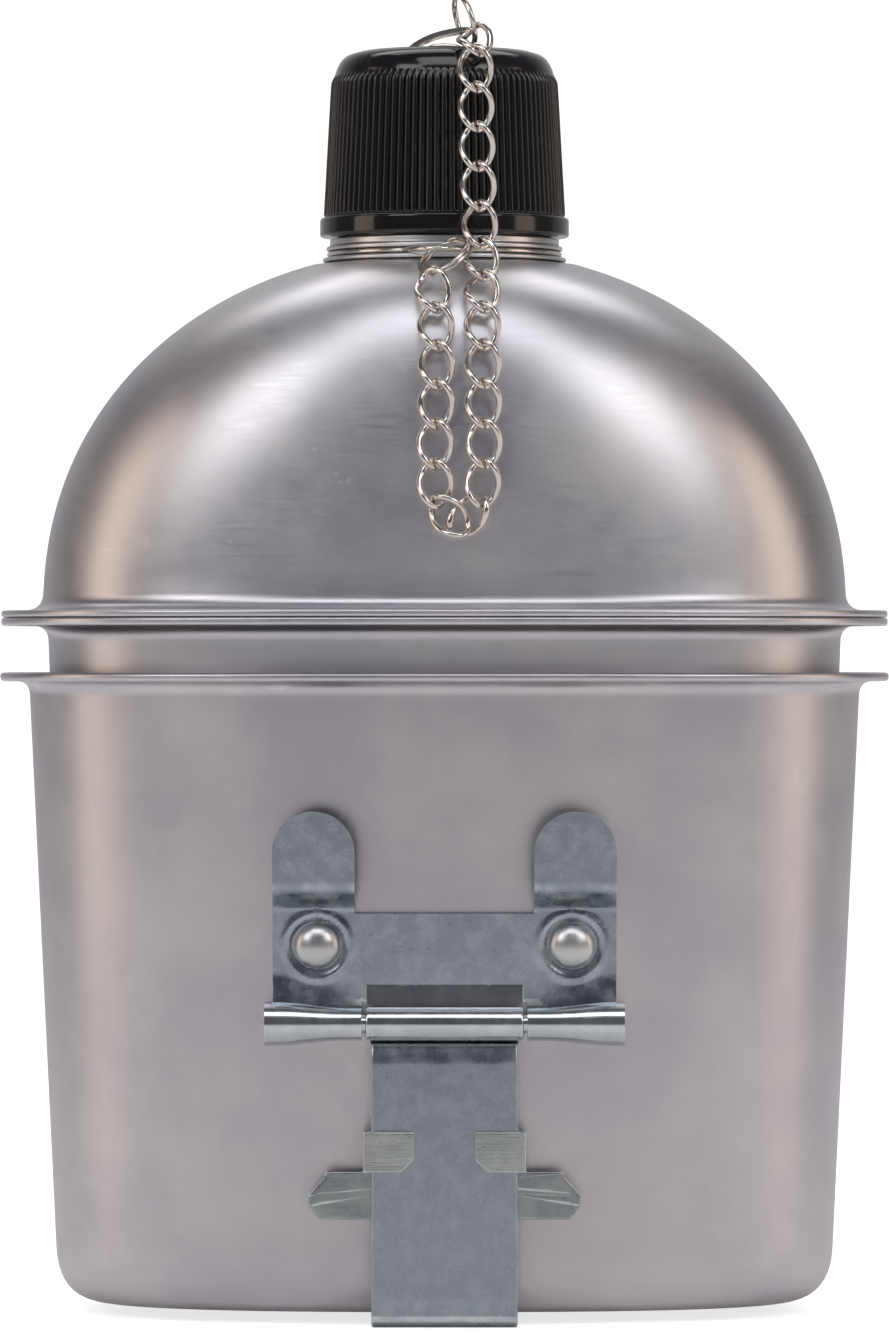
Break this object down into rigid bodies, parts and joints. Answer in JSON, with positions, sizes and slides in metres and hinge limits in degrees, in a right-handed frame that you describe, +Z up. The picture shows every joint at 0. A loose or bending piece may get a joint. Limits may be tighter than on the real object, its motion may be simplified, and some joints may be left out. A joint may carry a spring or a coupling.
{
  "type": "canteen",
  "caption": "Kidney-shaped aluminium canteen nested in its cup, with a ribbed screw cap held by a curb chain and a folding cup handle with a sliding lock",
  "frame": {"origin": "On the standing surface, on the axis of the canteen's neck, touching the underside of the folded grip", "axes": "+Z up along the neck's axis, -Y towards the handle and chain side of the cup, +Y towards the hollow back, +X to the right when the handle faces the viewer"},
  "size_m": [0.1436, 0.0823, 0.2119],
  "materials": {
    "satin_aluminium": "satin, finely brushed",
    "nickel_plate": "polished",
    "zinc_plate": "satin with mottled passivation",
    "black_plastic": "gloss",
    "sealing_rubber": "matt"
  },
  "bodies": {
    "cup": {"cup_body": "satin_aluminium", "hinge_bracket": "zinc_plate", "bracket_rivet_left": "satin_aluminium", "bracket_rivet_right": "satin_aluminium", "rivet_washer_left": "satin_aluminium", "rivet_washer_right": "satin_aluminium", "hinge_pin": "zinc_plate"},
    "grip": {"handle": "zinc_plate"},
    "lock": {"lock_slide": "zinc_plate"},
    "bottle": {"canteen_lower_shell": "satin_aluminium", "canteen_upper_shell": "satin_aluminium", "neck_ferrule": "satin_aluminium", "neck_collar_wire": "nickel_plate", "split_ring": "nickel_plate", "chain_link_18": "nickel_plate", "chain_link_19": "nickel_plate", "chain_link_20": "nickel_plate", "chain_link_21": "nickel_plate"},
    "tab": {"cap_tab": "nickel_plate", "tab_rivet": "nickel_plate", "tab_washer": "nickel_plate", "connecting_ring": "nickel_plate", "chain_link_01": "nickel_plate", "chain_link_02": "nickel_plate", "chain_link_03": "nickel_plate", "chain_link_04": "nickel_plate", "chain_link_05": "nickel_plate", "chain_link_06": "nickel_plate", "chain_link_07": "nickel_plate", "chain_link_08": "nickel_plate", "chain_link_09": "nickel_plate", "chain_link_10": "nickel_plate", "chain_link_11": "nickel_plate", "chain_link_12": "nickel_plate", "chain_link_13": "nickel_plate"},
    "cap": {"cap_shell": "black_plastic", "cap_liner": "sealing_rubber"},
    "link_14": {"chain_link_14": "nickel_plate"},
    "link_15": {"chain_link_15": "nickel_plate"},
    "link_16": {"chain_link_16": "nickel_plate"},
    "link_17": {"chain_link_17": "nickel_plate"}
  },
  "joints": [
    {"name": "handle_hinge", "type": "hinge", "parent": "cup", "child": "grip", "pos_m": [0, -0.03608, 0.048], "axis": [-1, 0, 0], "range_deg": [0, 173]},
    {"name": "lock_slide", "type": "slide", "parent": "grip", "child": "lock", "axis": [0, 0, -1], "range_m": [0, 0.012]},
    {"name": "canteen_lift", "type": "slide", "parent": "cup", "child": "bottle", "axis": [0, 0, 1], "range_m": [0, 0.11]},
    {"name": "cap_lift", "type": "slide", "parent": "bottle", "child": "tab", "axis": [0, 0, 1], "range_m": [0, 0.0253], "deforming": ["chain_link_07"]},
    {"name": "cap_turn", "type": "hinge", "parent": "tab", "child": "cap", "pos_m": [0, 0, 0.19], "axis": [0, 0, 1], "range_deg": [0, 1800]},
    {"name": "chain_bend_a", "type": "hinge", "parent": "tab", "child": "link_14", "pos_m": [0.006, -0.03535, 0.12982], "axis": [0, -1, 0], "range_deg": [0, 45.2], "deforming": ["chain_link_14"]},
    {"name": "chain_bend_b", "type": "hinge", "parent": "link_14", "child": "link_15", "pos_m": [0.0022, -0.03584, 0.1249], "axis": [0, -1, 0], "range_deg": [0, 96.4], "deforming": ["chain_link_15"]},
    {"name": "chain_bend_c", "type": "hinge", "parent": "link_15", "child": "link_16", "pos_m": [-0.00154, -0.03544, 0.12973], "axis": [0, -1, 0], "range_deg": [0, 1]},
    {"name": "chain_bend_d", "type": "hinge", "parent": "link_16", "child": "link_17", "pos_m": [-0.00157, -0.03528, 0.13598], "axis": [0, -1, 0], "range_deg": [-97.3, 0], "deforming": ["chain_link_17"]}
  ],
  "couplings": [
    {"joint": "cap_lift", "follows": "cap_turn", "m_per_rad": 0.00080214},
    {"joint": "chain_bend_a", "follows": "cap_turn", "ratio": 0.025083},
    {"joint": "chain_bend_b", "follows": "cap_turn", "ratio": 0.053506},
    {"joint": "chain_bend_c", "follows": "cap_turn", "ratio": 0.000533},
    {"joint": "chain_bend_d", "follows": "cap_turn", "ratio": -0.053989}
  ]
}
